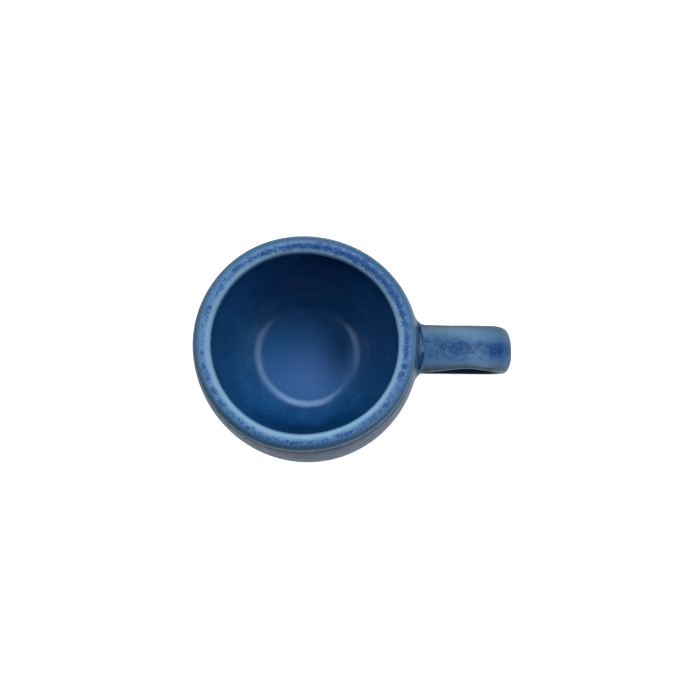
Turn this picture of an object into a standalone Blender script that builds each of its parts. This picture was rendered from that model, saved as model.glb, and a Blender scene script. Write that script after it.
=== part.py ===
"""Shaving mug: a thrown stoneware cup with a pulled strap handle, luted on at two joints and glazed.

Frame: metres, +Z up, origin at the centre of the flat foot, handle towards +X.
The clay shapes are drawn first. Each glaze coat is the clay's own outline, grown outwards.
"""

import math

import bmesh
import bpy
from mathutils import Vector

MM = 0.001

# Driving dimensions of the glazed mug
HEIGHT = 74 * MM
BELLY_RADIUS = 52.5 * MM
BELLY_HEIGHT = 42 * MM
MOUTH_RADIUS = 42.7 * MM
RIM_THICKNESS = 8.2 * MM
RIM_OVALITY = 0.036
FLOOR_RADIUS = 22 * MM
FLOOR_CORNER_WIDTH = 2.3 * MM
FLOOR_CORNER_RISE = 0.5 * MM
FLOOR_CORNER_SLOPE = 25
FLOOR_HEIGHT = 11 * MM
FOOT_RADIUS = 34.2 * MM
FOOT_HEIGHT = 4 * MM
STRAP_WIDTH = 21.8 * MM
STRAP_THICKNESS = 8.2 * MM

# Glaze: a coat of COAT over the clay, with a hairline FIT_GAP that keeps the two solids apart
COAT = 0.5 * MM
FIT_GAP = 0.3 * MM
GLAZED = FIT_GAP + COAT
GLAZE_SEAM = 0.5 * MM

# Clay sizes that follow
LIP_ROUND = RIM_THICKNESS / 2 - GLAZED
LIP_CENTRE_RADIUS = MOUTH_RADIUS + RIM_THICKNESS / 2
LIP_CENTRE_HEIGHT = HEIGHT - RIM_THICKNESS / 2
BELLY_CLAY_RADIUS = BELLY_RADIUS - GLAZED
FLOOR_CLAY_HEIGHT = FLOOR_HEIGHT - GLAZED
WALL_THICKNESS = 5.7 * MM
WELL_RADIUS = BELLY_CLAY_RADIUS - WALL_THICKNESS
WELL_WIDEST_HEIGHT = BELLY_HEIGHT + 2 * MM
# How far the well's curve runs straight down from its widest ring, and straight out from the floor's corner
WELL_PULL_DOWN = 17 * MM
WELL_PULL_OUT = 12 * MM

# Lower wall: the arc that carries the belly in to the foot, as an ellipse about its own centre
BELLY_ARC_REACH = 34 * MM
BELLY_ARC_DEPTH = 44 * MM
LEDGE_HEIGHT = 0.6 * MM
FOOT_BEVEL = 1 * MM
GLAZE_LINE_HEIGHT = 5.2 * MM

# How finely round shapes are divided
TURNS = 48
WALL_STEPS = 9
LIP_STEPS = 8
SECTION_SIDES = 16
STRAP_STEPS = 26

# Handle: the middle line of the strap in the XZ plane, from inside the upper wall to inside the lower one
STRAP_LINE = [
    (0.0470, 0.0450),
    (0.0560, 0.0464),
    (0.0660, 0.0482),
    (0.0765, 0.0479),
    (0.0862, 0.0436),
    (0.0910, 0.0360),
    (0.0918, 0.0283),
    (0.0888, 0.0212),
    (0.0800, 0.0173),
    (0.0690, 0.0160),
    (0.0560, 0.0162),
    (0.0410, 0.0165),
]
# Width of the strap along that line, as a share of STRAP_WIDTH, evenly spaced
STRAP_TAPER = [1.0, 1.0, 0.90, 0.92, 1.0, 0.97, 0.92, 0.87, 0.83, 0.81, 0.81]
STRAP_SQUARENESS = 2.8
JOINT_FLARE = 1.9 * MM
JOINT_LIP = 0.8 * MM
JOINT_ROOT = 1.5 * MM
JOINT_STEPS = 4


def clear_scene():
    for obj in list(bpy.data.objects):
        bpy.data.objects.remove(obj)


def material(name, colour, roughness):
    made = bpy.data.materials.new(name)
    made.use_nodes = True
    shader = made.node_tree.nodes["Principled BSDF"]
    shader.inputs["Base Color"].default_value = (*colour, 1.0)
    shader.inputs["Roughness"].default_value = roughness
    shader.inputs["Metallic"].default_value = 0.0
    return made


def add_object(name, mesh_builder, finish=None):
    """Turns a bmesh into a smooth-shaded object in the scene."""
    bmesh.ops.recalc_face_normals(mesh_builder, faces=mesh_builder.faces)
    mesh = bpy.data.meshes.new(name)
    mesh_builder.to_mesh(mesh)
    mesh_builder.free()
    mesh.shade_smooth()
    mesh.set_sharp_from_angle(angle=math.radians(40))
    obj = bpy.data.objects.new(name, mesh)
    bpy.context.scene.collection.objects.link(obj)
    if finish:
        mesh.materials.append(finish)
    return obj


def as_helper(obj):
    """A shape that only cuts or joins: not a piece of the mug."""
    obj.hide_render = True
    obj.display_type = "WIRE"
    return obj


def boolean(obj, operation, other):
    modifier = obj.modifiers.new(f"{operation.lower()} {other.name}", "BOOLEAN")
    modifier.operation = operation
    modifier.solver = "EXACT"
    modifier.object = other


# ---------------------------------------------------------------- outlines of the cup, as (radius, height)


def belly_arc(height):
    """Radius of the clay's outer wall at a height."""
    below = BELLY_HEIGHT - height
    if below > 0:
        swell = math.sqrt(1 - (below / BELLY_ARC_DEPTH) ** 2)
        return BELLY_CLAY_RADIUS - BELLY_ARC_REACH * (1 - swell)
    rim_radius = LIP_CENTRE_RADIUS + LIP_ROUND
    rise = (height - BELLY_HEIGHT) / (LIP_CENTRE_HEIGHT - BELLY_HEIGHT)
    return BELLY_CLAY_RADIUS - (BELLY_CLAY_RADIUS - rim_radius) * rise**2


def outer_wall(from_height):
    """Clay outline from that height up to the start of the lip, closer together where the wall turns in."""
    span = LIP_CENTRE_HEIGHT - from_height
    heights = [from_height + span * (i / WALL_STEPS) ** 1.25 for i in range(WALL_STEPS)]
    return [(belly_arc(height), height) for height in heights]


def lip():
    """Half circle over the top of the rim, from the outer side to the mouth."""
    turns = [math.pi * i / LIP_STEPS for i in range(LIP_STEPS + 1)]
    return [
        (LIP_CENTRE_RADIUS + LIP_ROUND * math.cos(a), LIP_CENTRE_HEIGHT + LIP_ROUND * math.sin(a))
        for a in turns
    ]


def inner_wall():
    """Clay outline of the well, from just under the mouth to the edge of its flat floor."""
    mouth = LIP_CENTRE_RADIUS - LIP_ROUND
    top = LIP_CENTRE_HEIGHT - GLAZE_SEAM
    points = []
    for i in range(4):
        height = top + (WELL_WIDEST_HEIGHT - top) * i / 4
        fall = (LIP_CENTRE_HEIGHT - height) / (LIP_CENTRE_HEIGHT - WELL_WIDEST_HEIGHT)
        points.append((mouth + (WELL_RADIUS - mouth) * math.sin(fall * math.pi / 2), height))
    slope = math.radians(FLOOR_CORNER_SLOPE)
    corner = Vector((FLOOR_RADIUS + FLOOR_CORNER_WIDTH, FLOOR_CLAY_HEIGHT + FLOOR_CORNER_RISE))
    widest = Vector((WELL_RADIUS, WELL_WIDEST_HEIGHT))
    start_pull = widest - Vector((0, WELL_PULL_DOWN))
    end_pull = corner + WELL_PULL_OUT * Vector((math.cos(slope), math.sin(slope)))
    for i in range(WALL_STEPS + 1):
        t = i / WALL_STEPS
        point = (1 - t) ** 3 * widest + 3 * t * (1 - t) ** 2 * start_pull
        point += 3 * t * t * (1 - t) * end_pull + t**3 * corner
        points.append((point.x, point.y))
    points.append((FLOOR_RADIUS, FLOOR_CLAY_HEIGHT))
    return points


def foot():
    """Bare clay under the glaze line: a flat disc foot with a bevelled edge and a small ledge."""
    return [
        (0.0, 0.0),
        (FOOT_RADIUS - 2 * FOOT_BEVEL, 0.0),
        (FOOT_RADIUS - FOOT_BEVEL, FOOT_BEVEL),
        (FOOT_RADIUS, FOOT_HEIGHT),
    ]


def grown(outline, distance):
    """The outline moved outwards. It runs from the foot over the rim, so outwards is to its right."""
    moved = []
    for i, (radius, height) in enumerate(outline):
        before = outline[max(i - 1, 0)]
        after = outline[min(i + 1, len(outline) - 1)]
        along = Vector((after[0] - before[0], after[1] - before[1])).normalized()
        moved.append((radius + along.y * distance, height - along.x * distance))
    return moved


def oval(height):
    """Share of a circle's depth in Y at a height: round at the belly, slightly oval at the rim."""
    t = min(max((height - BELLY_HEIGHT) / (HEIGHT - BELLY_HEIGHT), 0.0), 1.0)
    return 1 - RIM_OVALITY * t * t * (3 - 2 * t)


def turned(name, outline, finish=None):
    """A solid of revolution about Z from an outline, made oval towards the rim."""
    shape = bmesh.new()
    corners = [shape.verts.new((radius, 0, height)) for radius, height in outline]
    edges = [shape.edges.new(pair) for pair in zip(corners, corners[1:])]
    if outline[0][0] > 0:
        edges.append(shape.edges.new((corners[-1], corners[0])))
    bmesh.ops.spin(
        shape,
        geom=corners + edges,
        cent=(0, 0, 0),
        axis=(0, 0, 1),
        angle=2 * math.pi,
        steps=TURNS,
        use_merge=True,
    )
    bmesh.ops.remove_doubles(shape, verts=shape.verts, dist=0.001 * MM)
    for vert in shape.verts:
        vert.co.y *= oval(vert.co.z)
    return add_object(name, shape, finish)


# ---------------------------------------------------------------- handle


def spline(points, t):
    """Catmull-Rom curve through the points: t from 0 at the first to 1 at the last."""
    place = min(t, 0.999999) * (len(points) - 1)
    i = int(place)
    u = place - i
    a, b = Vector(points[max(i - 1, 0)]), Vector(points[i])
    c, d = Vector(points[i + 1]), Vector(points[min(i + 2, len(points) - 1)])
    return 0.5 * (2 * b + (c - a) * u + (2 * a - 5 * b + 4 * c - d) * u**2 + (3 * b - a - 3 * c + d) * u**3)


def strap_frame(t):
    """Point on the strap's middle line, its direction, and the direction out of the finger loop."""
    step = 0.002
    here = spline(STRAP_LINE, t)
    along = (spline(STRAP_LINE, min(t + step, 1)) - spline(STRAP_LINE, max(t - step, 0))).normalized()
    return (
        Vector((here.x, 0, here.y)),
        Vector((along.x, 0, along.y)),
        Vector((-along.y, 0, along.x)),
    )


def rounded(value, share):
    """Superellipse coordinate: keeps the sign of a sine or cosine and squares up the curve."""
    return math.copysign(abs(value) ** (2 / STRAP_SQUARENESS), value) * share


def strap_ring(t, grow):
    """Corners of the strap's section at t, grown on all sides."""
    centre, _, outwards = strap_frame(t)
    taper = spline([(share, 0) for share in STRAP_TAPER], t).x
    half_width = STRAP_WIDTH / 2 * taper - GLAZED + grow
    half_thickness = STRAP_THICKNESS / 2 - GLAZED + grow
    ring = []
    for i in range(SECTION_SIDES):
        a = 2 * math.pi * (i + 0.5) / SECTION_SIDES
        sideways = Vector((0, rounded(math.cos(a), half_width), 0))
        ring.append(centre + sideways + outwards * rounded(math.sin(a), half_thickness))
    return ring


def skinned(name, rings, finish=None):
    """A solid through rings of corners, closed at both ends."""
    shape = bmesh.new()
    loops = [[shape.verts.new(point) for point in ring] for ring in rings]
    for near, far in zip(loops, loops[1:]):
        for i in range(len(near)):
            j = (i + 1) % len(near)
            shape.faces.new((near[i], near[j], far[j], far[i]))
    shape.faces.new(loops[0])
    shape.faces.new(loops[-1])
    return add_object(name, shape, finish)


def strap(name, grow, finish=None):
    return skinned(name, [strap_ring(i / STRAP_STEPS, grow) for i in range(STRAP_STEPS + 1)], finish)


def within_wall(point):
    """Whether a point lies inside the clay's outer wall."""
    return math.hypot(point.x, point.y / oval(point.z)) < belly_arc(point.z)


def wall_crossing(start, end):
    """The t between start and end where the strap's middle line leaves the clay wall."""
    inside, outside = start, end
    for _ in range(30):
        middle = (inside + outside) / 2
        if within_wall(strap_frame(middle)[0]):
            inside = middle
        else:
            outside = middle
    return outside


def seated_ring(t, out, grow, reach):
    """The strap's section at t, each corner slid along the strap until it stands off the wall by reach."""
    ring = []
    for corner in strap_ring(t, grow):
        inside, outside = -15 * MM, 15 * MM
        for _ in range(30):
            middle = (inside + outside) / 2
            if within_wall(corner + out * middle):
                inside = middle
            else:
                outside = middle
        ring.append(corner + out * (outside + reach))
    return ring


def joint_collar(name, t, away, grow, finish=None):
    """Clay pressed round a strap's end: a hollow curve from the wall out to the strap. away is +1 or -1."""
    out = strap_frame(t)[1] * away
    rings = [seated_ring(t, out, JOINT_FLARE + JOINT_LIP, -JOINT_ROOT)]
    for i in range(JOINT_STEPS + 1):
        a = math.pi / 2 * i / JOINT_STEPS
        flare = JOINT_FLARE - (JOINT_FLARE - grow) * math.sin(a)
        reach = JOINT_FLARE - (JOINT_FLARE - grow) * math.cos(a)
        rings.append(seated_ring(t, out, flare + JOINT_LIP, reach))
    if grow > 0:
        rings.append(seated_ring(t, out, grow + JOINT_LIP, JOINT_FLARE + grow))
    return skinned(name, rings, finish)


# ---------------------------------------------------------------- the pieces


def build_body(clay):
    outline = foot() + outer_wall(FOOT_HEIGHT + LEDGE_HEIGHT) + lip() + inner_wall()
    return turned("mug_body", outline + [(0.0, FLOOR_CLAY_HEIGHT)], clay)


def build_liner_glaze(finish):
    well = inner_wall() + [(0.0, FLOOR_CLAY_HEIGHT)]
    return turned("liner_glaze", grown(well, GLAZED) + grown(well, FIT_GAP)[::-1], finish)


def body_plug(name, grow):
    """The cup's outside filled solid, for trimming what meets the wall."""
    outline = grown(foot() + outer_wall(FOOT_HEIGHT + LEDGE_HEIGHT), grow)
    outline[0] = (0.0, -grow)
    return as_helper(turned(name, outline + [(outline[-1][0], LIP_CENTRE_HEIGHT), (0.0, LIP_CENTRE_HEIGHT)]))


def build_handle_parts(clay, slip, glaze):
    """The strap, its two joints, and the outer glaze that runs over the cup's wall, the joints and the strap."""
    ends = {
        "upper": (wall_crossing(0.0, 0.2), 1),
        "lower": (wall_crossing(1.0, 0.8), -1),
    }
    plug = body_plug("wall_clearance", FIT_GAP)
    strap_clearance = as_helper(strap("strap_clearance", FIT_GAP))
    handle = strap("handle", 0.0, clay)
    boolean(handle, "DIFFERENCE", plug)

    skin = as_helper(strap("strap_skin", GLAZED))
    boolean(skin, "DIFFERENCE", body_plug("wall_skin_trim", FIT_GAP + COAT / 2))
    coated = outer_wall(GLAZE_LINE_HEIGHT) + lip()
    outer_glaze = turned("outer_glaze", grown(coated, GLAZED) + grown(coated, FIT_GAP)[::-1], glaze)
    boolean(outer_glaze, "UNION", skin)

    hollows = [strap_clearance]
    for where, (at, away) in ends.items():
        joint = joint_collar(f"{where}_handle_joint", at, away, 0.0, slip)
        boolean(joint, "DIFFERENCE", plug)
        boolean(joint, "DIFFERENCE", strap_clearance)
        joint_skin = as_helper(joint_collar(f"{where}_joint_skin", at, away, GLAZED))
        boolean(joint_skin, "DIFFERENCE", bpy.data.objects["wall_skin_trim"])
        boolean(outer_glaze, "UNION", joint_skin)
        hollows.append(as_helper(joint_collar(f"{where}_joint_clearance", at, away, FIT_GAP)))
    for hollow in hollows:
        boolean(outer_glaze, "DIFFERENCE", hollow)


def main():
    clear_scene()
    clay = material("bare_stoneware", (0.42, 0.33, 0.25), 0.85)
    slip = material("joining_slip", (0.45, 0.36, 0.28), 0.85)
    outer_blue = material("outer_blue_glaze", (0.12, 0.24, 0.42), 0.25)
    liner_blue = material("liner_navy_glaze", (0.004, 0.045, 0.13), 0.12)
    build_body(clay)
    build_liner_glaze(liner_blue)
    build_handle_parts(clay, slip, outer_blue)


main()
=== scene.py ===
"""Looks for the shaving mug: hand-thrown glaze over the packed clay, soft studio light, camera above.

Lengths inside the shape code are millimetres, in the frame of the part: +Z up, handle towards +X.
"""

import math

import bmesh
import bpy
import numpy as np
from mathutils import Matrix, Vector


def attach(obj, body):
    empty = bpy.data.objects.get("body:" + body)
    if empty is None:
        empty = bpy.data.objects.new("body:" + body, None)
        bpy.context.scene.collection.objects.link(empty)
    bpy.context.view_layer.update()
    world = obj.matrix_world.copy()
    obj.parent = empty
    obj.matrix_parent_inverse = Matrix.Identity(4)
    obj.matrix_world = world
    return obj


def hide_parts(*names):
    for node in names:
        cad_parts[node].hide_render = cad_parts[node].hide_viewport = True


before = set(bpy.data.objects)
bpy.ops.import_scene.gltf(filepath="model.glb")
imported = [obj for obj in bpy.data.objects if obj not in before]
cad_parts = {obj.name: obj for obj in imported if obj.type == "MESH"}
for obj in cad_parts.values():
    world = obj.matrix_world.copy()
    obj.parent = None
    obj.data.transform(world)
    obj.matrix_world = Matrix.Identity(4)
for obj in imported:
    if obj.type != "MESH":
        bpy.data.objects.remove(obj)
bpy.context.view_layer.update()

MM = 0.001

# ------------------------------------------------------------------ dimensions of the glazed mug

RIM_HEIGHT = 74.0
LIP_ROUND = 4.1
LIP_RADIUS = 46.8
LIP_HEIGHT = RIM_HEIGHT - LIP_ROUND
BELLY_RADIUS = 52.5
BELLY_HEIGHT = 42.0
ARC_REACH = 34.0
ARC_DEPTH = 44.0
WELL_RADIUS = 45.2
WELL_WIDEST = 44.0
WELL_PULL_HEIGHT = 27.0
FLOOR_PULL = 10
FLOOR_RADIUS = 19.9
FLOOR_CORNER = 12.5
FLOOR_CORNER_SLOPE = 28
FLOOR_HEIGHT = 11.0
FLOOR_DISH = 0.6
FOOT_RADIUS = 34.2
FOOT_HEIGHT = 4.0
GLAZE_LINE = 5.2
GLAZE_EDGE_ROUND = 0.7
GLAZE_EDGE_TURN = 0.45
SEAM_HEIGHT = LIP_HEIGHT - 0.9
SEAM_OVERLAP = 0.6
RIM_OVALITY = 0.036
NECK_HEIGHT = 66.6
NECK_DEPTH = 0.35
NECK_WIDTH = 1.5

STRAP_LINE = [
    (47.0, 45.0),
    (56.0, 46.4),
    (66.0, 48.2),
    (76.5, 47.9),
    (86.2, 43.6),
    (91.0, 36.0),
    (91.8, 28.3),
    (88.8, 21.2),
    (80.0, 17.3),
    (69.0, 16.0),
    (56.0, 16.2),
    (41.0, 16.5),
]
STRAP_TAPER = [1.0, 1.0, 0.96, 0.97, 1.0, 0.97, 0.92, 0.875, 0.845, 0.83, 0.82]
STRAP_HALF_WIDTH = 10.9
STRAP_HALF_THICKNESS = 4.1
STRAP_SQUARENESS = 3.2
THUMB_DISH = 0.55
ROOT_FILLET = 4.8
ROOT_FILLET_TOP = 1.7
COLLAR_RISE = 0.65
COLLAR_REACH = 1.5
CREASE_DEPTH = 0.28
CREASE_HALF_LENGTH = 11.8
CREASE_LOW, CREASE_HIGH = 46.5, 56.0
NEAR_WAIST = 0.9
NEAR_END_ROUND = 0.6
CREASE_GAP_Y = -0.8
UPPER_ROOT_RING = 48.5
LOWER_ROOT_SUNK = 6
LOWER_LEG_TOP = 30
NET_STEP = 0.75
NET_LOW, NET_HIGH = (-56, -56, 2), (99, 56, 77)


# ------------------------------------------------------------------ curves used all over

def smooth(t):
    """0 below 0, 1 above 1, with soft ends."""
    t = np.clip(t, 0.0, 1.0)
    return t * t * (3 - 2 * t)


def bell(distance, width, power=2):
    """1 where a distance is 0, falling off over a width; a power of 4 gives a flatter top."""
    return np.exp(-((distance / width) ** power))


# ------------------------------------------------------------------ the cup as a profile

def towards_rim(z):
    """0 at the belly and below, 1 at the rim, with soft ends."""
    return smooth((z - BELLY_HEIGHT) / (RIM_HEIGHT - BELLY_HEIGHT))


def wobble(angle, z):
    """How the hand-thrown radius wanders round the cup, as a share of the radius."""
    belly = -0.0052 * np.sin(2 * angle) + 0.0036 * np.sin(3 * angle + 0.3) + 0.0016 * np.sin(4 * angle)
    rim = 0.0030 * np.cos(3 * angle) - 0.0020 * np.cos(4 * angle) - 0.0024 * np.cos(5 * angle)
    share = towards_rim(z)
    return (belly * (1 - share) + rim * share) * np.clip(z / 20, 0, 1)


def oval(z):
    """Share of a circle's depth in Y at a height: round at the belly, slightly oval at the rim."""
    return 1 - RIM_OVALITY * towards_rim(z)


def lean(z):
    """How far the middle of the cup strays sideways with height."""
    share = 1 - 2 * towards_rim(z)
    return 0.20 * share, 0.16 * share


def wall_radius(z):
    """Outer radius of the glazed wall at a height."""
    below = BELLY_HEIGHT - z
    low = BELLY_RADIUS - ARC_REACH * (1 - np.sqrt(np.clip(1 - (below / ARC_DEPTH) ** 2, 0, 1)))
    rise = (z - BELLY_HEIGHT) / (LIP_HEIGHT - BELLY_HEIGHT)
    high = BELLY_RADIUS - (BELLY_RADIUS - LIP_RADIUS - LIP_ROUND) * rise**2
    # a shallow hollow runs round under the rolled lip
    high = high - NECK_DEPTH * bell(z - NECK_HEIGHT, NECK_WIDTH)
    return np.where(below > 0, low, high)


def throwing_lines(z):
    """Fine ridges that a rib leaves in the outer wall, fading out towards the lip."""
    fade = np.clip((LIP_HEIGHT - z) / 6, 0, 1) * np.clip((z - GLAZE_LINE) / 4, 0, 1)
    return fade * (0.050 * np.sin(z * 3.7) + 0.035 * np.sin(z * 5.9 + 1.3) + 0.05 * np.sin(z * 1.3 + 0.4))


def outer_profile():
    """The wall from the rounded edge of the glaze up to the lip."""
    z = np.linspace(GLAZE_LINE, LIP_HEIGHT, 160)[:-1]
    wall = np.column_stack([wall_radius(z) + throwing_lines(z), z])
    edge_radius = wall_radius(np.array(GLAZE_LINE))
    turn = np.linspace(-2.0, 0.0, 8)[:-1]
    edge = np.column_stack([
        edge_radius - GLAZE_EDGE_ROUND + GLAZE_EDGE_ROUND * np.cos(turn),
        GLAZE_LINE + GLAZE_EDGE_ROUND * np.sin(turn),
    ])
    return np.vstack([edge, wall])


def lip_profile():
    """The half circle of the rolled lip, from its outside over the crest to its inside."""
    a = np.linspace(0, math.pi, 40)
    return np.column_stack([LIP_RADIUS + LIP_ROUND * np.cos(a), LIP_HEIGHT + LIP_ROUND * np.sin(a)])


def bezier(p0, p1, p2, p3, count):
    """Cubic Bezier curve from p0 to p3, read at count steps."""
    t = np.linspace(0, 1, count)[:, None]
    p0, p1, p2, p3 = (np.array(p) for p in (p0, p1, p2, p3))
    return (1 - t) ** 3 * p0 + 3 * t * (1 - t) ** 2 * p1 + 3 * t * t * (1 - t) * p2 + t**3 * p3


def inner_profile():
    """The well from under the lip to the centre of the floor."""
    mouth = LIP_RADIUS - LIP_ROUND
    z = np.linspace(LIP_HEIGHT, WELL_WIDEST, 60)[1:]
    fall = (LIP_HEIGHT - z) / (LIP_HEIGHT - WELL_WIDEST)
    upper = np.column_stack([mouth + (WELL_RADIUS - mouth) * np.sin(fall * math.pi / 2), z])
    slope = math.radians(FLOOR_CORNER_SLOPE)
    out, up = FLOOR_CORNER * math.sin(slope), FLOOR_CORNER * (1 - math.cos(slope))
    corner = np.array([FLOOR_RADIUS + out, FLOOR_HEIGHT + up])
    along = np.array([math.cos(slope), math.sin(slope)])
    widest, pull = (WELL_RADIUS, WELL_WIDEST), (WELL_RADIUS, WELL_PULL_HEIGHT)
    lower = bezier(corner, corner + FLOOR_PULL * along, pull, widest, 110)[::-1][1:]
    a = np.linspace(slope, 0, 16)[1:]
    turn = np.column_stack([
        FLOOR_RADIUS + FLOOR_CORNER * np.sin(a),
        FLOOR_HEIGHT + FLOOR_CORNER * (1 - np.cos(a)),
    ])
    r = np.linspace(FLOOR_RADIUS, 0, 60)[1:]
    floor = np.column_stack([r, FLOOR_HEIGHT - FLOOR_DISH * (1 - (r / FLOOR_RADIUS) ** 2)])
    return np.vstack([upper, lower, turn, floor])


def cup_outline():
    """Closed outline of the cup's section, from the middle of the foot over the rim to the floor."""
    foot = np.array([(0, 0), (FOOT_RADIUS - 2, 0), (FOOT_RADIUS - 1, 1), (FOOT_RADIUS, FOOT_HEIGHT)])
    return np.vstack([foot, outer_profile(), lip_profile(), inner_profile()])


def outline_distance(outline, r, z):
    """Signed distance from points to a closed outline in the (r, z) plane, negative inside."""
    start = outline
    end = np.roll(outline, -1, axis=0)
    # the closing edge lies on the axis, which is no surface
    best = np.full(r.shape, 1e9)
    inside = np.zeros(r.shape, dtype=bool)
    for (ax, ay), (bx, by) in zip(start, end):
        dx, dy = bx - ax, by - ay
        length = dx * dx + dy * dy
        if not (ax < 1e-6 and bx < 1e-6) and length > 0:
            t = np.clip(((r - ax) * dx + (z - ay) * dy) / length, 0, 1)
            best = np.minimum(best, (r - ax - t * dx) ** 2 + (z - ay - t * dy) ** 2)
        crosses = (ay > z) != (by > z)
        if dy != 0:
            inside ^= crosses & (r < ax + (z - ay) / dy * dx)
    return np.where(inside, -1, 1) * np.sqrt(best)


class Table:
    """Values on an even grid in a plane, read between the grid points."""

    def __init__(self, low, high, step, compute):
        self.low, self.step = np.array(low), step
        u = np.arange(low[0], high[0] + step, step)
        v = np.arange(low[1], high[1] + step, step)
        grid_u, grid_v = np.meshgrid(u, v, indexing="ij")
        self.values = compute(grid_u, grid_v)

    def read(self, u, v):
        a = np.clip((u - self.low[0]) / self.step, 0, self.values.shape[0] - 1.001)
        b = np.clip((v - self.low[1]) / self.step, 0, self.values.shape[1] - 1.001)
        i, j = a.astype(int), b.astype(int)
        s, t = a - i, b - j
        w = self.values
        return (
            w[i, j] * (1 - s) * (1 - t) + w[i + 1, j] * s * (1 - t)
            + w[i, j + 1] * (1 - s) * t + w[i + 1, j + 1] * s * t
        )


# ------------------------------------------------------------------ the strap

def spline(points, count):
    """Catmull-Rom curve through points, read at count even steps."""
    p = np.array(points, dtype=float)
    p = np.vstack([2 * p[0] - p[1], p, 2 * p[-1] - p[-2]])
    place = np.linspace(0, len(points) - 1, count)
    i = np.minimum(place.astype(int), len(points) - 2)
    u = (place - i)[:, None]
    a, b, c, d = p[i], p[i + 1], p[i + 2], p[i + 3]
    return 0.5 * (2 * b + (c - a) * u + (2 * a - 5 * b + 4 * c - d) * u**2 + (3 * b - a - 3 * c + d) * u**3)


LINE = spline(STRAP_LINE, 500)
LINE_ALONG = np.gradient(LINE, axis=0)
LINE_ALONG /= np.linalg.norm(LINE_ALONG, axis=1)[:, None]
TAPER = spline([(share, 0) for share in STRAP_TAPER], 500)[:, 0]


def nearest_on_line(x, z):
    """For points in the XZ plane: share of the way along the strap, and height off its middle line."""
    flat_x, flat_z = x.ravel(), z.ravel()
    best = np.full(flat_x.shape, 1e9)
    place = np.zeros(flat_x.shape)
    height = np.zeros(flat_x.shape)
    for i in range(len(LINE) - 1):
        (ax, az), (bx, bz) = LINE[i], LINE[i + 1]
        dx, dz = bx - ax, bz - az
        t = np.clip(((flat_x - ax) * dx + (flat_z - az) * dz) / (dx * dx + dz * dz), 0, 1)
        ox, oz = flat_x - ax - t * dx, flat_z - az - t * dz
        away = ox * ox + oz * oz
        near = away < best
        best[near] = away[near]
        place[near] = (i + t[near]) / (len(LINE) - 1)
        side = np.sign(dx * oz - dz * ox)
        height[near] = (side * np.sqrt(away))[near]
    return place.reshape(x.shape), height.reshape(x.shape)


STRAP_LOW, STRAP_HIGH, STRAP_STEP = (36.0, 4.0), (104.0, 62.0), 0.5
place_table = Table(STRAP_LOW, STRAP_HIGH, STRAP_STEP, lambda x, z: nearest_on_line(x, z)[0])
height_table = Table(STRAP_LOW, STRAP_HIGH, STRAP_STEP, lambda x, z: nearest_on_line(x, z)[1])


def strap_coordinates(x, z):
    """Share along the strap, height off its middle line (positive on the outside), and local width share."""
    place = place_table.read(x, z)
    height = height_table.read(x, z)
    taper = np.interp(place, np.linspace(0, 1, len(TAPER)), TAPER)
    return place, height, taper


def strap_distance(x, y, z, collar=0.0):
    """Signed distance to the strap: a flattened oval section, dished on top and waisted on its near edge.

    collar is how much the clay pressed round the root thickens it.
    """
    place, height, taper = strap_coordinates(x, z)
    bend = bell(place - 0.50, 0.16)
    waist = NEAR_WAIST * bell(place - 0.26, 0.075) * (y < 0)
    end_round = NEAR_END_ROUND * bell(place - 0.44, 0.09) * (y < 0)
    half_width = STRAP_HALF_WIDTH * taper - waist - end_round + 0.5 * collar
    half_thickness = STRAP_HALF_THICKNESS + collar + np.where(height > 0, 0.3, -0.3) * bend
    shallow = np.clip((place - 0.10) / 0.1, 0, 1) * np.clip((0.46 - place) / 0.12, 0, 1)
    dish = THUMB_DISH * bell(y, 5.0) * shallow * (height > 0)
    power = STRAP_SQUARENESS - 0.9 * bend
    u = np.abs(height + dish) / half_thickness + 1e-6
    v = np.abs(y) / half_width + 1e-6
    size = (u**power + v**power) ** (1 / power)
    steep = size ** (1 - power) * np.hypot(u ** (power - 1) / half_thickness, v ** (power - 1) / half_width)
    return np.clip((size - 1) / np.maximum(steep, 0.02), -8, 60)


# ------------------------------------------------------------------ the whole mug as one distance field

cup_table = Table((0.0, -6.0), (62.0, 84.0), 0.25, lambda r, z: outline_distance(cup_outline(), r, z))


def ring_radius(x, y, z):
    """Radius on the even, round cup that a point of the hand-thrown one belongs to."""
    shift_x, shift_y = lean(z)
    x, y = x - shift_x, y - shift_y
    return np.hypot(x, y / oval(z)) / (1 + wobble(np.arctan2(y, x), z))


def blend(a, b, reach):
    """Smooth union of two distances."""
    near = np.maximum(reach - np.abs(a - b), 0) / reach
    return np.minimum(a, b) - near * near * reach / 4


def crease_depth(x, y, z, cup, strap):
    """Share of the groove left round the collar on top of the strap, widest towards the near side."""
    above = smooth((x - STRAP_LOW[0]) / 2) * smooth((z - CREASE_LOW) / 2) * smooth((CREASE_HIGH - z) / 2)
    above = above * smooth((cup + 0.9) / 0.5) * smooth((CREASE_HALF_LENGTH - np.abs(y)) / 2.5)
    above = above * smooth((2.4 - strap) / 1.4)
    width = 0.36 + 0.32 * smooth((-y - 1.0) / 3.0)
    outer_edge = 0.4 + (COLLAR_REACH - 0.1) * np.clip(1 - (y / CREASE_HALF_LENGTH) ** 2, 0, 1)
    outer = bell(cup - outer_edge, width) * (1 - 0.8 * bell(y - CREASE_GAP_Y, 1.1))
    inner = 0.85 * bell(cup - 0.15, 0.45) * (1 - 0.7 * bell(y - CREASE_GAP_Y, 2.2))
    return above * np.maximum(outer, inner)


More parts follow.
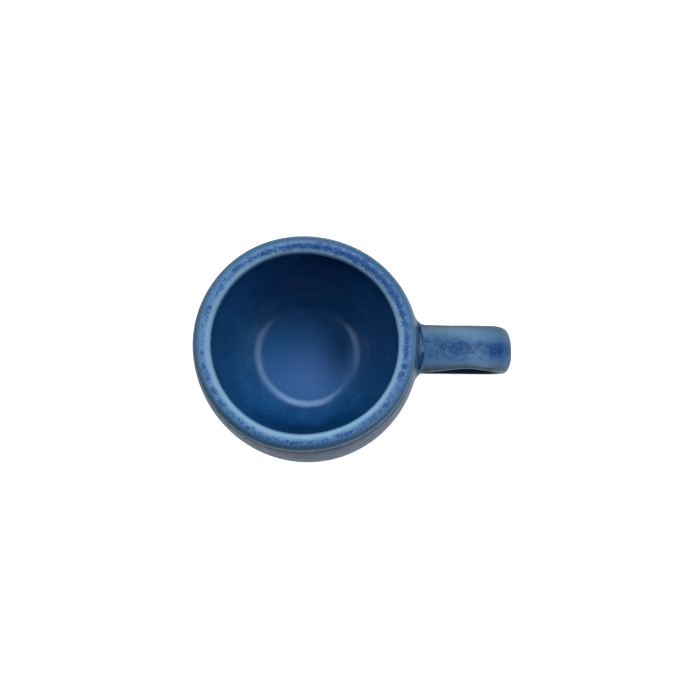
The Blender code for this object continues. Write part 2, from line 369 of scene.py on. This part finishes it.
def mug_distance(x, y, z):
    """Signed distance to the whole glazed mug."""
    ring = ring_radius(x, y, z)
    cup = cup_table.read(ring, z)
    collar = COLLAR_RISE * smooth((COLLAR_REACH + 0.35 - cup) / 0.7)
    # both roots of the strap stop inside the wall, and its tables begin at STRAP_LOW
    root_ring = np.where(z > LOWER_LEG_TOP, UPPER_ROOT_RING, wall_radius(z) - LOWER_ROOT_SUNK)
    strap = strap_distance(x, y, z, collar) + 3 * np.maximum(root_ring - ring, 0)
    strap = strap + 3 * np.maximum(STRAP_LOW[0] - x, 0)
    fillet = ROOT_FILLET_TOP + (ROOT_FILLET - ROOT_FILLET_TOP) * np.clip((np.abs(y) - 6) / 5, 0, 1)
    groove = CREASE_DEPTH * crease_depth(x, y, z, cup, strap)
    return blend(cup, strap, fillet) + groove


def gradient(points, step=0.05):
    """Slope of mug_distance at points."""
    x, y, z = points.T
    return np.column_stack([
        mug_distance(x + step, y, z) - mug_distance(x - step, y, z),
        mug_distance(x, y + step, z) - mug_distance(x, y - step, z),
        mug_distance(x, y, z + step) - mug_distance(x, y, z - step),
    ]) / (2 * step)


def settle(points, rounds=4):
    """Moves points onto the mug's surface."""
    for _ in range(rounds):
        slope = gradient(points)
        size = np.maximum((slope**2).sum(axis=1), 0.05)
        points = points - slope * (mug_distance(*points.T) / size)[:, None]
    return points


def surface_net(distance, low, high, step):
    """Quads round the zero level of a distance field sampled on a grid."""
    axes = [np.arange(a, b + step, step) for a, b in zip(low, high)]
    grid = np.meshgrid(*axes, indexing="ij")
    field = distance(*grid)
    shape = np.array(field.shape)
    cells = shape - 1
    total = np.zeros((np.prod(cells), 3))
    count = np.zeros(np.prod(cells))

    def cell_index(i, j, k):
        return (i * cells[1] + j) * cells[2] + k

    quads = []
    for axis in range(3):
        first = [slice(None)] * 3
        second = [slice(None)] * 3
        first[axis] = slice(0, -1)
        second[axis] = slice(1, None)
        a, b = field[tuple(first)], field[tuple(second)]
        where = np.nonzero((a < 0) != (b < 0))
        index = np.array(where)
        va, vb = a[where], b[where]
        at = index.astype(float)
        at[axis] += va / (va - vb)
        at = at * step + np.array(low)[:, None]
        others = [n for n in range(3) if n != axis]
        keep = np.ones(index.shape[1], dtype=bool)
        for n in others:
            keep &= (index[n] > 0) & (index[n] < cells[n])
        index, at, rising = index[:, keep], at[:, keep], (va < 0)[keep]
        corners = []
        for du, dv in ((0, 0), (1, 0), (1, 1), (0, 1)):
            cell = index.copy()
            cell[others[0]] -= du
            cell[others[1]] -= dv
            flat = cell_index(*cell)
            np.add.at(total, flat, at.T)
            np.add.at(count, flat, 1)
            corners.append(flat)
        quad = np.array(corners).T
        flip = rising if axis != 1 else ~rising
        quad[flip] = quad[flip][:, ::-1]
        quads.append(quad)
    quads = np.vstack(quads)
    used = np.nonzero(count)[0]
    renumber = np.full(len(count), -1)
    renumber[used] = np.arange(len(used))
    return total[used] / count[used][:, None], renumber[quads]


def relax(points, quads, rounds):
    """Evens out the quads, keeping the points on the surface."""
    for _ in range(rounds):
        middle = points[quads].mean(axis=1)
        total = np.zeros_like(points)
        count = np.zeros(len(points))
        for corner in range(4):
            np.add.at(total, quads[:, corner], middle)
            np.add.at(count, quads[:, corner], 1)
        points = settle(0.4 * points + 0.6 * total / np.maximum(count, 1)[:, None], 2)
    return settle(points, 3)


# ------------------------------------------------------------------ making objects

def mesh_object(name, points_mm, faces):
    """A smooth-shaded mesh in the scene, from points in millimetres."""
    mesh = bpy.data.meshes.new(name)
    mesh.from_pydata((np.asarray(points_mm) * MM).tolist(), [], [tuple(map(int, face)) for face in faces])
    mesh.validate()
    mesh.shade_smooth()
    obj = bpy.data.objects.new(name, mesh)
    bpy.context.scene.collection.objects.link(obj)
    return obj


def store(obj, name, values):
    """Keeps one number for each vertex, for the materials to read."""
    layer = obj.data.attributes.new(name, "FLOAT", "POINT")
    layer.data.foreach_set("value", np.asarray(values, dtype=np.float32))


def coordinates(obj):
    """Vertices in millimetres."""
    flat = np.empty(len(obj.data.vertices) * 3, dtype=np.float32)
    obj.data.vertices.foreach_get("co", flat)
    return flat.reshape(-1, 3).astype(float) / MM


def trimmed(points, quads, keep_distance):
    """Cuts a mesh where keep_distance passes zero, keeping the positive side, with a clean edge."""
    made = bmesh.new()
    verts = [made.verts.new(p) for p in points]
    made.verts.ensure_lookup_table()
    for quad in quads:
        made.faces.new([verts[i] for i in quad])
    value = {v: d for v, d in zip(verts, keep_distance)}
    crossing = [e for e in made.edges if (value[e.verts[0]] > 0) != (value[e.verts[1]] > 0)]
    for edge in crossing:
        a, b = edge.verts
        share = value[a] / (value[a] - value[b])
        _, new = bmesh.utils.edge_split(edge, a, share)
        value[new] = 0.0
    for face in list(made.faces):
        on_cut = [v for v in face.verts if value[v] == 0.0]
        if len(on_cut) == 2 and not made.edges.get(on_cut):
            bmesh.utils.face_split(face, on_cut[0], on_cut[1])
    gone = [f for f in made.faces if min(value[v] for v in f.verts) < 0]
    bmesh.ops.delete(made, geom=gone, context="FACES")
    made.verts.index_update()
    points = np.array([v.co[:] for v in made.verts])
    faces = [[v.index for v in f.verts] for f in made.faces]
    made.free()
    return points, faces


def make_outer_glaze():
    """Outer glaze: the whole mug's surface, cut off at the glaze line and at the seam inside the lip."""
    points, quads = surface_net(mug_distance, NET_LOW, NET_HIGH, NET_STEP)
    points = relax(settle(points, 3), quads, 3)
    x, y, z = points.T
    ring = ring_radius(x, y, z)
    in_well = (ring < LIP_RADIUS) & (ring < wall_radius(z) - 3) & (z < RIM_HEIGHT - 1.5)
    low_edge = z - (GLAZE_LINE - GLAZE_EDGE_TURN)
    seam = np.where(in_well, z - SEAM_HEIGHT, 5.0)
    points, faces = trimmed(points, quads, np.minimum(low_edge, seam))
    return mesh_object("outer_glaze_skin", points, faces)


def make_liner():
    """Liner glaze: a fine turned surface from the seam down to the middle of the floor."""
    profile = inner_profile()
    start = np.argmin(np.abs(profile[:, 1] - SEAM_HEIGHT - SEAM_OVERLAP))
    profile = profile[start:]
    turns = 288
    angles = np.arange(turns) * 2 * math.pi / turns
    points, faces = [], []
    rings = profile[:-1]
    for r, z in rings:
        radius = r * (1 + wobble(angles, z))
        shift_x, shift_y = lean(z)
        points.extend(np.column_stack([
            shift_x + radius * np.cos(angles),
            shift_y + radius * np.sin(angles) * oval(z),
            np.full(turns, z),
        ]))
    for row in range(len(rings) - 1):
        for i in range(turns):
            j = (i + 1) % turns
            a, b = row * turns, (row + 1) * turns
            faces.append((a + i, a + j, b + j, b + i))
    last = (len(rings) - 1) * turns
    points.append((*lean(0.0), float(profile[-1, 1])))
    faces.extend((last + i, last + (i + 1) % turns, len(points) - 1) for i in range(turns))
    return mesh_object("liner_glaze_skin", points, faces)


# ------------------------------------------------------------------ materials

class Nodes:
    """A material's node tree, with short calls for the nodes used here."""

    def __init__(self, name):
        self.material = bpy.data.materials.new(name)
        self.material.use_nodes = True
        self.tree = self.material.node_tree
        self.shader = self.tree.nodes["Principled BSDF"]

    def link(self, a, b):
        self.tree.links.new(a, b)

    def value(self, socket, value):
        if isinstance(value, bpy.types.NodeSocket):
            self.link(value, socket)
        else:
            socket.default_value = value

    def attribute(self, name):
        node = self.tree.nodes.new("ShaderNodeAttribute")
        node.attribute_name = name
        return node.outputs["Fac"]

    def position(self):
        return self.tree.nodes.new("ShaderNodeTexCoord").outputs["Object"]

    def noise(self, vector, scale, detail=4.0, rough=0.55, distortion=0.0):
        node = self.tree.nodes.new("ShaderNodeTexNoise")
        self.value(node.inputs["Vector"], vector)
        node.inputs["Scale"].default_value = scale
        node.inputs["Detail"].default_value = detail
        node.inputs["Roughness"].default_value = rough
        node.inputs["Distortion"].default_value = distortion
        return node.outputs["Fac"]

    def ramp(self, value, low, high, to_low=0.0, to_high=1.0):
        node = self.tree.nodes.new("ShaderNodeMapRange")
        node.interpolation_type = "SMOOTHSTEP"
        self.value(node.inputs["Value"], value)
        node.inputs["From Min"].default_value = low
        node.inputs["From Max"].default_value = high
        node.inputs["To Min"].default_value = to_low
        node.inputs["To Max"].default_value = to_high
        return node.outputs["Result"]

    def math(self, operation, a, b=0.0):
        node = self.tree.nodes.new("ShaderNodeMath")
        node.operation = operation
        self.value(node.inputs[0], a)
        self.value(node.inputs[1], b)
        return node.outputs[0]

    def mix(self, share, a, b):
        node = self.tree.nodes.new("ShaderNodeMix")
        node.data_type = "RGBA"
        self.value(node.inputs[0], share)
        for socket, colour in ((node.inputs[6], a), (node.inputs[7], b)):
            self.value(socket, colour if isinstance(colour, bpy.types.NodeSocket) else (*colour, 1.0))
        return node.outputs[2]

    def bump(self, height, strength, distance):
        node = self.tree.nodes.new("ShaderNodeBump")
        node.inputs["Strength"].default_value = strength
        node.inputs["Distance"].default_value = distance
        self.value(node.inputs["Height"], height)
        return node.outputs["Normal"]


def srgb(r, g, b):
    """Colour on a 0 to 255 display scale to a linear one."""
    def channel(v):
        v /= 255
        return v / 12.92 if v <= 0.04045 else ((v + 0.055) / 1.055) ** 2.4
    return tuple(channel(v) for v in (r, g, b))


BODY_BLUE = srgb(92, 122, 162)
BODY_SLATE = srgb(76, 106, 144)
STRAP_BLUE = srgb(94, 135, 172)
# painted shade for the inside of the handle loop
STRAP_UNDER_SHADE = srgb(4, 44, 64)
LIP_CREST = srgb(116, 160, 202)
# painted shade on the lip's outer side
LIP_OUTSIDE_SHADE = srgb(66, 112, 150)
# painted highlight on the lip's inner slope
LIP_INSIDE_HIGHLIGHT = srgb(146, 188, 216)
SEAM_SHADE = srgb(30, 70, 104)
NECK_SHADE = srgb(34, 58, 84)
POOL_BLUE = srgb(48, 102, 168)
FLECK_BLUE = srgb(8, 68, 134)
CORE_BLUE = srgb(0, 66, 124)
PALE_SPECK = srgb(150, 190, 224)
OLIVE = srgb(88, 98, 58)
# partly glaze pooled in the crease, partly painted shade
CREASE_POOL_AND_SHADE = srgb(0, 56, 106)
WELL_DEEP = srgb(6, 80, 140)
WELL_BLUE = srgb(20, 98, 162)
WELL_FLOOR = srgb(64, 134, 204)
# pale specks, and painted light on the well's lower sides
WELL_PALE_SPECK_AND_LIT = srgb(92, 158, 214)
# painted sheen on the floor
WELL_SHEEN = srgb(104, 152, 228)
# painted shadow of the rim on the floor
WELL_SHADOW_TEAL = srgb(0, 66, 108)
WELL_SHADE = srgb(0, 26, 58)


def outer_glaze_material():
    n = Nodes("outer_blue_glaze")
    where = n.position()
    clouds = n.noise(where, 70, 4)
    clusters = n.noise(where, 300, 3)
    grains = n.noise(where, 1250, 4, 0.62, 1.1)
    pool = n.attribute("pool")

    body = n.mix(n.ramp(clouds, 0.35, 0.65), BODY_BLUE, BODY_SLATE)
    # painted shade in a band under the lip
    colour = n.mix(n.math("MULTIPLY", n.attribute("neck"), 0.6), body, NECK_SHADE)
    colour = n.mix(n.attribute("strap"), colour, STRAP_BLUE)
    colour = n.mix(n.attribute("lip"), colour, LIP_CREST)
    # painted shade on the lip's outer side
    colour = n.mix(n.attribute("lip_outside_shade"), colour, LIP_OUTSIDE_SHADE)
    # painted highlight on the lip's inner slope
    colour = n.mix(n.attribute("lip_inside_highlight"), colour, LIP_INSIDE_HIGHLIGHT)
    # painted shade along the lip's inner edge
    colour = n.mix(n.math("MULTIPLY", n.attribute("lip_edge_shade"), 0.8), colour, SEAM_SHADE)
    colour = n.mix(n.math("MULTIPLY", pool, 0.55), colour, POOL_BLUE)

    # deep blue where the glaze lies thickest
    core = n.math("MULTIPLY", n.attribute("core"), n.ramp(grains, 0.30, 0.60, 0.72, 1.0))
    colour = n.mix(core, colour, CORE_BLUE)

    # dark flecks in the pools, crowded towards their middle, and pale specks between them
    reach = n.math("MULTIPLY", pool, 0.24)
    thick = n.math("ADD", n.math("MULTIPLY", clusters, 0.36), n.math("MULTIPLY", grains, 0.64))
    flecks = n.ramp(n.math("ADD", thick, reach), 0.60, 0.72)
    flecks = n.math("MULTIPLY", flecks, n.ramp(pool, 0.02, 0.30))
    colour = n.mix(n.math("MULTIPLY", flecks, 0.9), colour, FLECK_BLUE)
    speck = n.ramp(n.noise(where, 1900, 2), 0.54, 0.68)
    on_lip, on_strap = n.attribute("lip"), n.attribute("strap")
    where_pale = n.math("ADD", n.math("MULTIPLY", on_lip, 0.26), n.math("MULTIPLY", on_strap, 0.25))
    pale = n.math("MULTIPLY", speck, where_pale)
    colour = n.mix(pale, colour, PALE_SPECK)

    # olive where the glaze runs thin over an edge
    thin = n.math("MULTIPLY", n.attribute("thin_edge"), n.ramp(clusters, 0.30, 0.64, 0.35, 1.0))
    thin = n.math("MULTIPLY", thin, n.ramp(clouds, 0.30, 0.58, 0.45, 1.0))
    colour = n.mix(n.math("MULTIPLY", thin, 0.7), colour, OLIVE)
    # dark navy in the crease round the strap's root: partly glaze pooled in the groove, partly painted shade
    colour = n.mix(n.ramp(n.attribute("crease"), 0.10, 0.60), colour, CREASE_POOL_AND_SHADE)
    # painted shade on the inside of the loop, over the lower leg
    colour = n.mix(n.attribute("strap_under_shade"), colour, STRAP_UNDER_SHADE)
    n.value(n.shader.inputs["Base Color"], colour)

    rough = n.ramp(clusters, 0.3, 0.7, 0.30, 0.44)
    rough = n.math("ADD", rough, n.math("MULTIPLY", n.attribute("strap_under_shade"), 0.1))
    rough = n.math("SUBTRACT", rough, n.math("MULTIPLY", n.attribute("glossy_wall"), 0.11))
    n.value(n.shader.inputs["Roughness"], rough)
    n.shader.inputs["Specular IOR Level"].default_value = 0.36
    n.value(n.shader.inputs["Normal"], n.bump(n.math("ADD", clusters, grains), 0.35, 0.00018))
    return n.material


def liner_material():
    n = Nodes("liner_navy_glaze")
    where = n.position()
    clouds = n.noise(where, 75, 5)
    grains = n.noise(where, 1300, 3)
    base = n.mix(n.ramp(clouds, 0.32, 0.68), WELL_DEEP, WELL_BLUE)
    # painted light on the lower sides of the well and round the floor's edge
    base = n.mix(n.math("MULTIPLY", n.attribute("well_sides_lit"), 0.16), base, WELL_PALE_SPECK_AND_LIT)
    # the floor is painted paler than the walls: partly its glaze, partly painted light
    base = n.mix(n.attribute("well_floor"), base, WELL_FLOOR)
    # painted sheen on the floor
    base = n.mix(n.math("MULTIPLY", n.attribute("floor_sheen"), 0.8), base, WELL_SHEEN)
    base = n.mix(n.ramp(grains, 0.46, 0.70, 0.0, 0.22), base, WELL_PALE_SPECK_AND_LIT)
    # painted shadow of the rim on the floor
    base = n.mix(n.math("MULTIPLY", n.attribute("rim_shadow_patch"), 0.55), base, WELL_SHADOW_TEAL)
    base = n.mix(n.math("MULTIPLY", n.attribute("under_lip"), 0.9), base, WELL_SHADE)
    n.value(n.shader.inputs["Base Color"], base)
    n.value(n.shader.inputs["Roughness"], n.ramp(clouds, 0.3, 0.7, 0.20, 0.28))
    n.shader.inputs["Specular IOR Level"].default_value = 0.9
    n.shader.inputs["Specular Tint"].default_value = (0.62, 0.80, 1.0, 1.0)
    n.value(n.shader.inputs["Normal"], n.bump(clouds, 0.1, 0.0004))
    return n.material


def stoneware_material():
    n = Nodes("bare_stoneware_clay")
    where = n.position()
    grain = n.noise(where, 700, 6, 0.6)
    base = n.mix(n.ramp(grain, 0.35, 0.7), srgb(172, 150, 124), srgb(206, 188, 162))
    n.value(n.shader.inputs["Base Color"], base)
    n.value(n.shader.inputs["Normal"], n.bump(grain, 0.4, 0.0004))
    n.shader.inputs["Roughness"].default_value = 0.85
    return n.material


def floor_material():
    n = Nodes("studio_floor")
    n.value(n.shader.inputs["Base Color"], (0.8, 0.8, 0.8, 1.0))
    n.shader.inputs["Roughness"].default_value = 0.9
    n.shader.inputs["Emission Color"].default_value = (1, 1, 1, 1)
    n.shader.inputs["Emission Strength"].default_value = 0.85
    return n.material


# ------------------------------------------------------------------ where each look lies

# glaze pools on top of the strap: middle along X, half length, half width
THUMB_SWIRL = (71.4, 8.9, 4.9)
TIP_POOL = (87.8, 6.8, 4.8)
POOLS_MIDDLE_Y = -0.9
TIP_GAP_X, TIP_GAP_Y = 84.9, -2.1


def store_lip_looks(obj, x, y, z, on_strap):
    """Shares of the lip, its painted highlight inside, its painted shade outside, at its inner edge and at
    the neck, and the glossy wall; returns the lip's flecked band.
    """
    ring = ring_radius(x, y, z)
    azimuth = np.arctan2(y, x)
    # 0 on the outside of the lip, 90 on its crest, 180 on the inside
    roll = np.degrees(np.arctan2(z - LIP_HEIGHT, ring - LIP_RADIUS))
    on_lip = smooth((roll + 12) / 12) * smooth((z - LIP_HEIGHT + 3) / 2) * smooth((55.0 - ring) / 2)
    store(obj, "lip", on_lip)
    # painted highlight on the lip's inner slope
    store(obj, "lip_inside_highlight", on_lip * smooth((roll - 104) / 22))
    # painted shade on the outer side of the lip, weaker on the +X side
    store(obj, "lip_outside_shade", on_lip * smooth((84 - roll) / 24) * (1 - 0.5 * bell(azimuth, 0.45)))
    # painted shade along the inside edge of the lip, wider on the near and far sides, and on the glaze just
    # below it in the well
    seam = on_lip * smooth((roll - 147 + 13 * np.abs(np.sin(azimuth))) / 24)
    below_seam = smooth((LIP_HEIGHT - z) / 0.4) * (ring < 45) * (z > 60)
    store(obj, "lip_edge_shade", seam + below_seam)

    # painted shade in a band under the lip, off the strap
    store(obj, "neck", smooth((z - 58.5) / 4) * smooth((70.5 - z) / 2) * (1 - on_strap))
    # the wall is glossy all round but on its near side
    wall = (1 - on_lip) * (1 - on_strap) * smooth((z - 30) / 15)
    store(obj, "glossy_wall", wall * smooth((np.sin(azimuth) + 0.7) / 0.6))

    # the flecks crowd towards one side of the lip and a little on the opposite one
    one_side = 0.22 * np.cos(azimuth - math.radians(55))
    two_sides = 0.12 * np.cos(2 * (azimuth - math.radians(60)))
    crowding = np.clip(0.78 + one_side + two_sides, 0, 1.1)
    band_width = 29 + 5 * np.cos(azimuth - math.radians(50))
    band_middle = 91 + 6 * np.sin(azimuth)
    return on_lip * bell(roll - band_middle, band_width) * crowding


def store_strap_looks(obj, x, y, z, on_strap):
    """Shares of the strap, its thickest glaze, thin edges and the painted shade on its underside; returns the
    pools on its top.
    """
    place, height, taper = strap_coordinates(x, z)
    on_top = on_strap * smooth((height + 1.0) / 2.0) * smooth((0.62 - place) / 0.1)

    def from_middle(middle_x, half_x, half_y):
        """Distance from the middle of a pool, 1 on its oval edge."""
        return np.hypot((x - middle_x) / half_x, (y - POOLS_MIDDLE_Y) / half_y)

    # one pool in the thumb dish, one at the tip and a streak along the middle, with the far edge left free
    swirl, tip = from_middle(*THUMB_SWIRL), from_middle(*TIP_POOL)
    pool = np.maximum(bell(swirl, 0.42), 0.55 * bell(swirl - 0.95, 0.2))
    pool = np.maximum(pool, 0.55 * smooth((1.45 - swirl) / 0.45))
    pool = np.maximum(pool, 0.55 * bell(y, 6.5, 4))
    pool = np.maximum(pool, 0.85 * bell(tip, 0.9, 4))
    pool = pool * (1 - 0.85 * smooth((y - 2.2) / 1.6) * smooth((x - 64) / 4))

    # the swirl has an eye and rings; the tip has a small gap
    arcs = 0.4 * smooth((73.5 - x) / 5) * bell(swirl - 0.98, 0.17)
    core = 1.2 * bell(swirl, 0.7, 4) + arcs
    core = core * (0.78 + 0.22 * np.cos(2 * math.pi * swirl / 0.52))
    core = np.maximum(core, 0.5 * bell(tip, 0.95, 4))
    core = np.maximum(core, 0.5 * bell(y, 3.4, 4) * smooth((x - 76) / 4))
    core = core * (1 - 0.8 * bell(x - TIP_GAP_X, 2.4) * bell(y - TIP_GAP_Y, 1.1))

    edge = smooth((np.abs(y) / (STRAP_HALF_WIDTH * taper) - 0.58) / 0.34)
    store(obj, "strap", on_strap)
    store(obj, "core", on_top * np.clip(core, 0, 1))
    store(obj, "thin_edge", on_strap * edge * smooth((0.52 - place) / 0.1))
    # painted shade on the inside of the loop, over the lower leg
    store(obj, "strap_under_shade", on_strap * smooth((place - 0.58) / 0.1) * smooth((1.6 - height) / 3.0))
    return on_top * pool


def store_outer_looks(obj):
    """Everything that the outer glaze's material reads."""
    x, y, z = coordinates(obj).T
    cup_gap = cup_table.read(ring_radius(x, y, z), z)
    on_strap = smooth((cup_gap - 0.6) / 1.6)
    lip_pool = store_lip_looks(obj, x, y, z, on_strap)
    strap_pool = store_strap_looks(obj, x, y, z, on_strap)
    store(obj, "pool", np.maximum(lip_pool, strap_pool))
    store(obj, "crease", crease_depth(x, y, z, cup_gap, strap_distance(x, y, z)))


def store_well_looks(obj):
    """Everything that the liner's material reads: its paler floor, a painted sheen and a painted rim shadow
    on it, and shares of the wall for painted light and painted shade.
    """
    x, y, z = coordinates(obj).T
    radius = np.hypot(x, y)
    sideways = np.abs(x / np.maximum(radius, 1.0))
    # the floor is painted paler than the walls: partly its glaze, partly painted light
    store(obj, "well_floor", smooth((27 - radius) / 7))
    # painted sheen on the floor, centred towards the near side
    store(obj, "floor_sheen", bell(x - 1, 14) * bell(y + 8, 10) * (z < 14))
    # painted shadow of the rim on the +X side of the floor
    store(obj, "rim_shadow_patch", bell(x - 16, 8) * bell(y - 2, 13) * smooth((21.5 - radius) / 3))

    # painted light on the ±X sides of the lower wall, and a painted glow round the floor's edge, weaker on
    # the near side
    lit_low_wall = smooth((z - 12) / 5) * smooth((42 - z) / 14) * smooth((sideways - 0.55) / 0.4)
    floor_edge_glow = 1.5 * (1 - 0.7 * smooth(-y / 12)) * bell(z - 14.0, 2.6)
    store(obj, "well_sides_lit", np.maximum(lit_low_wall, floor_edge_glow))

    # the shade under the lip starts lower and is stronger on the near side
    near_side = smooth(-y / 40)
    shade = (0.5 + 0.24 * near_side) * smooth((z - 15 + 2 * near_side) / (16 - 9 * near_side))
    shade = shade * (1 - 0.4 * smooth(sideways))
    store(obj, "under_lip", np.maximum(shade, smooth((z - 63) / 5)))


# ------------------------------------------------------------------ the mug

outer = make_outer_glaze()
liner = make_liner()
store_outer_looks(outer)
store_well_looks(liner)

outer.data.materials.append(outer_glaze_material())
liner.data.materials.append(liner_material())
clay = stoneware_material()
for node in ("mug_body", "handle", "upper_handle_joint", "lower_handle_joint"):
    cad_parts[node].data.materials.clear()
    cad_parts[node].data.materials.append(clay)

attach(outer, "root")
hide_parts("outer_glaze")
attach(liner, "root")
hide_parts("liner_glaze")

# ------------------------------------------------------------------ studio

FLOOR_REACH = 30000
FLOOR_DROP = 0.05
corner_signs = ((-1, -1), (1, -1), (1, 1), (-1, 1))
floor_corners = [(x * FLOOR_REACH, y * FLOOR_REACH, -FLOOR_DROP) for x, y in corner_signs]
floor = mesh_object("studio_floor", floor_corners, [(0, 1, 2, 3)])
floor.data.materials.append(floor_material())
floor.visible_glossy = False
floor.visible_diffuse = False


def soft_box(name, location, target, width, power):
    """A square light that faces a target."""
    data = bpy.data.lights.new(name, "AREA")
    data.shape = "RECTANGLE"
    data.size, data.size_y = width, width
    data.energy = power
    data.color = LIGHT_COLOUR
    obj = bpy.data.objects.new(name, data)
    obj.location = location
    obj.rotation_euler = (Vector(target) - Vector(location)).to_track_quat("-Z", "Y").to_euler()
    bpy.context.scene.collection.objects.link(obj)


LIGHT_DISTANCE = 1.35
LIGHT_COLOUR = (0.88, 0.95, 1.0)
LIGHT_TARGET = Vector((0, 0, 0.05))
# soft boxes round the mug: clockwise angle from +Y and elevation in degrees, width in metres, watts
SOFT_BOXES = {
    "window_high": (0, 52, 0.75, 7.0),
    "window_low": (0, 24, 0.60, 2.1),
    "window_right": (45, 52, 0.75, 3.4),
    "right_high": (90, 52, 0.75, 3.0),
    "right_low": (135, 24, 0.60, 4.5),
    "left_low": (270, 24, 0.60, 2.9),
    "left_high": (270, 52, 0.75, 2.3),
    "window_left": (315, 24, 0.60, 2.7),
}
for label, (around, up, width, watts) in SOFT_BOXES.items():
    around, up = math.radians(around), math.radians(up)
    towards = Vector((math.sin(around) * math.cos(up), math.cos(around) * math.cos(up), math.sin(up)))
    soft_box(label, LIGHT_TARGET + LIGHT_DISTANCE * towards, LIGHT_TARGET, width, watts)


def studio_air():
    """No light from above the table, and from below it the light that a pale table sends back."""
    world = bpy.data.worlds.new("studio_air")
    world.use_nodes = True
    nodes, links = world.node_tree.nodes, world.node_tree.links
    split = nodes.new("ShaderNodeSeparateXYZ")
    links.new(nodes.new("ShaderNodeTexCoord").outputs["Generated"], split.inputs[0])
    ramp = nodes.new("ShaderNodeMapRange")
    ramp.inputs["From Min"].default_value = -0.25
    ramp.inputs["From Max"].default_value = -0.92
    ramp.inputs["To Min"].default_value = 0.0
    ramp.inputs["To Max"].default_value = 0.80
    links.new(split.outputs["Z"], ramp.inputs["Value"])
    links.new(ramp.outputs[0], nodes["Background"].inputs["Strength"])
    nodes["Background"].inputs["Color"].default_value = (0.88, 0.94, 1, 1)
    bpy.context.scene.world = world


studio_air()

TILT = math.radians(5.71)
DISTANCE = 1.2
AIM = Vector((0.0205, -0.0004, 0.0431))
camera_data = bpy.data.cameras.new("camera")
camera_data.sensor_width = 36
camera_data.lens = 132.6
camera_data.clip_end = 20
camera = bpy.data.objects.new("camera", camera_data)
camera.location = AIM + DISTANCE * Vector((0, -math.sin(TILT), math.cos(TILT)))
camera.rotation_euler = (TILT, 0, 0)
bpy.context.scene.collection.objects.link(camera)
bpy.context.scene.camera = camera

bpy.context.scene.view_settings.view_transform = "Standard"
